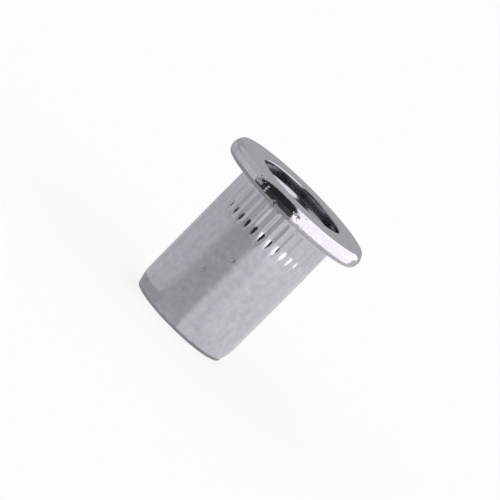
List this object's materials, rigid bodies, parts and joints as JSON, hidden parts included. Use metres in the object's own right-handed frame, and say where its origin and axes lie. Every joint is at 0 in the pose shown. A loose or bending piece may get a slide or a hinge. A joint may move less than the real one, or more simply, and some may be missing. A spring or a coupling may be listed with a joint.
{
  "type": "rivet nut",
  "caption": "Flat-head rivet nut with a straight-knurled round shank and an open end; it folds out behind sheet metal to give it a threaded hole.",
  "frame": {"origin": "centre of the open threaded end, which stands on the ground plane", "axes": "+Z along the nut's axis, from the open end to the flange; one knurl groove faces -Y"},
  "size_m": [0.016, 0.016, 0.0165],
  "materials": {
    "stainless_steel": "satin, bright on the rim"
  },
  "bodies": {
    "root": {"rivet_nut": "stainless_steel"}
  },
  "joints": []
}
